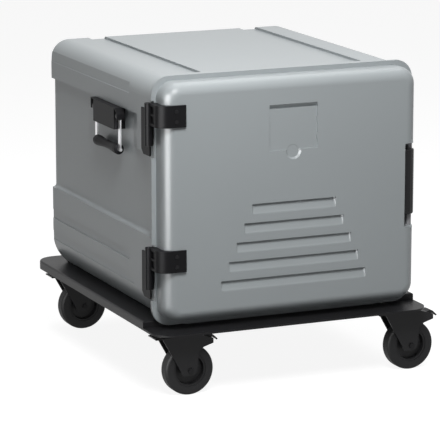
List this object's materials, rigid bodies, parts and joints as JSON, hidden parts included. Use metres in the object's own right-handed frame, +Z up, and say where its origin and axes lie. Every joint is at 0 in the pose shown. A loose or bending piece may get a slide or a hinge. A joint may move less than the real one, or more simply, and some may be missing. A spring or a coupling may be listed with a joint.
{
  "type": "insulated food transport cart",
  "caption": "Insulated front-loading food transport box with hinged door, latch lever and swinging side handles, on a low black dolly with braked swivel castors.",
  "frame": {"origin": "on the floor under the middle of the dolly's deck", "axes": "+Z up, -Y towards the door, +X towards the latch side"},
  "size_m": [0.777, 0.855, 0.779],
  "materials": {
    "shell_grey": "fine moulded grain, satin",
    "liner_grey": "smooth, easy to wipe",
    "foam": "rigid closed-cell foam",
    "deck_black": "black powder coat",
    "rim_black": "black, satin",
    "castor_black": "black powder coat",
    "wheel_black": "black, matt",
    "tyre_black": "black, matt",
    "hinge_black": "black, satin",
    "latch_black": "black, satin",
    "pin_grey": "light grey, satin",
    "steel": "stainless, brushed",
    "grip_black": "black, matt",
    "gasket_black": "black, matt"
  },
  "bodies": {
    "trolley": {"deck_plate": "deck_black", "deck_rim": "rim_black", "castor_bolts": "steel", "castor_plate_front_left": "castor_black", "castor_plate_front_right": "castor_black", "castor_plate_rear_left": "castor_black", "castor_plate_rear_right": "castor_black", "king_pin_front_left": "steel", "king_pin_front_right": "steel", "king_pin_rear_left": "steel", "king_pin_rear_right": "steel", "body_shell": "shell_grey", "body_foam": "foam", "inner_liner": "liner_grey", "hinge_plate_upper": "hinge_black", "hinge_plate_lower": "hinge_black", "hinge_pin_upper": "steel", "hinge_pin_lower": "steel", "latch_keeper": "hinge_black", "handle_bracket_left": "castor_black", "handle_bracket_right": "castor_black"},
    "door": {"door_shell": "shell_grey", "door_foam": "foam", "door_inner_panel": "liner_grey", "door_gasket": "gasket_black", "hinge_leaf_upper": "hinge_black", "hinge_leaf_lower": "hinge_black", "leaf_screws": "steel", "latch_pin": "pin_grey"},
    "latch": {"latch_lever": "latch_black"},
    "handle_left": {"bail_left": "steel", "grip_left": "grip_black"},
    "handle_right": {"bail_right": "steel", "grip_right": "grip_black"},
    "fork_front_left": {"castor_fork_front_left": "castor_black", "castor_axle_front_left": "steel"},
    "wheel_front_left": {"castor_rim_front_left": "wheel_black", "castor_tyre_front_left": "tyre_black"},
    "fork_front_right": {"castor_fork_front_right": "castor_black", "castor_axle_front_right": "steel"},
    "wheel_front_right": {"castor_rim_front_right": "wheel_black", "castor_tyre_front_right": "tyre_black"},
    "fork_rear_left": {"castor_fork_rear_left": "castor_black", "castor_axle_rear_left": "steel"},
    "wheel_rear_left": {"castor_rim_rear_left": "wheel_black", "castor_tyre_rear_left": "tyre_black"},
    "fork_rear_right": {"castor_fork_rear_right": "castor_black", "castor_axle_rear_right": "steel"},
    "wheel_rear_right": {"castor_rim_rear_right": "wheel_black", "castor_tyre_rear_right": "tyre_black"},
    "pedal_front_left": {"brake_pedal_front_left": "castor_black"},
    "pedal_front_right": {"brake_pedal_front_right": "castor_black"}
  },
  "joints": [
    {"name": "door_hinge", "type": "hinge", "parent": "trolley", "child": "door", "pos_m": [-0.35, -0.336, 0.49], "axis": [0, 0, -1], "range_deg": [0, 180]},
    {"name": "latch_turn", "type": "hinge", "parent": "door", "child": "latch", "pos_m": [0.325, -0.372, 0.484], "axis": [0, 0, -1], "range_deg": [0, 40]},
    {"name": "handle_left_swing", "type": "hinge", "parent": "trolley", "child": "handle_left", "pos_m": [-0.346, -0.064, 0.653], "axis": [0, 1, 0], "range_deg": [0, 90]},
    {"name": "handle_right_swing", "type": "hinge", "parent": "trolley", "child": "handle_right", "pos_m": [0.346, -0.064, 0.653], "axis": [0, -1, 0], "range_deg": [0, 90]},
    {"name": "swivel_front_left", "type": "hinge", "parent": "trolley", "child": "fork_front_left", "pos_m": [-0.299, -0.355, 0.15], "axis": [0, 0, 1], "continuous": true},
    {"name": "roll_front_left", "type": "hinge", "parent": "fork_front_left", "child": "wheel_front_left", "pos_m": [-0.2606, -0.355, 0.0625], "axis": [0, 1, 0], "continuous": true},
    {"name": "swivel_front_right", "type": "hinge", "parent": "trolley", "child": "fork_front_right", "pos_m": [0.299, -0.355, 0.15], "axis": [0, 0, 1], "continuous": true},
    {"name": "roll_front_right", "type": "hinge", "parent": "fork_front_right", "child": "wheel_front_right", "pos_m": [0.3374, -0.355, 0.0625], "axis": [0, 1, 0], "continuous": true},
    {"name": "swivel_rear_left", "type": "hinge", "parent": "trolley", "child": "fork_rear_left", "pos_m": [-0.299, 0.355, 0.15], "axis": [0, 0, 1], "continuous": true},
    {"name": "roll_rear_left", "type": "hinge", "parent": "fork_rear_left", "child": "wheel_rear_left", "pos_m": [-0.2606, 0.355, 0.0625], "axis": [0, 1, 0], "continuous": true},
    {"name": "swivel_rear_right", "type": "hinge", "parent": "trolley", "child": "fork_rear_right", "pos_m": [0.299, 0.355, 0.15], "axis": [0, 0, 1], "continuous": true},
    {"name": "roll_rear_right", "type": "hinge", "parent": "fork_rear_right", "child": "wheel_rear_right", "pos_m": [0.3374, 0.355, 0.0625], "axis": [0, 1, 0], "continuous": true},
    {"name": "brake_front_left", "type": "hinge", "parent": "fork_front_left", "child": "pedal_front_left", "pos_m": [-0.219, -0.355, 0.133], "axis": [0, 1, 0], "range_deg": [0, 10]},
    {"name": "brake_front_right", "type": "hinge", "parent": "fork_front_right", "child": "pedal_front_right", "pos_m": [0.379, -0.355, 0.133], "axis": [0, 1, 0], "range_deg": [0, 10]}
  ]
}
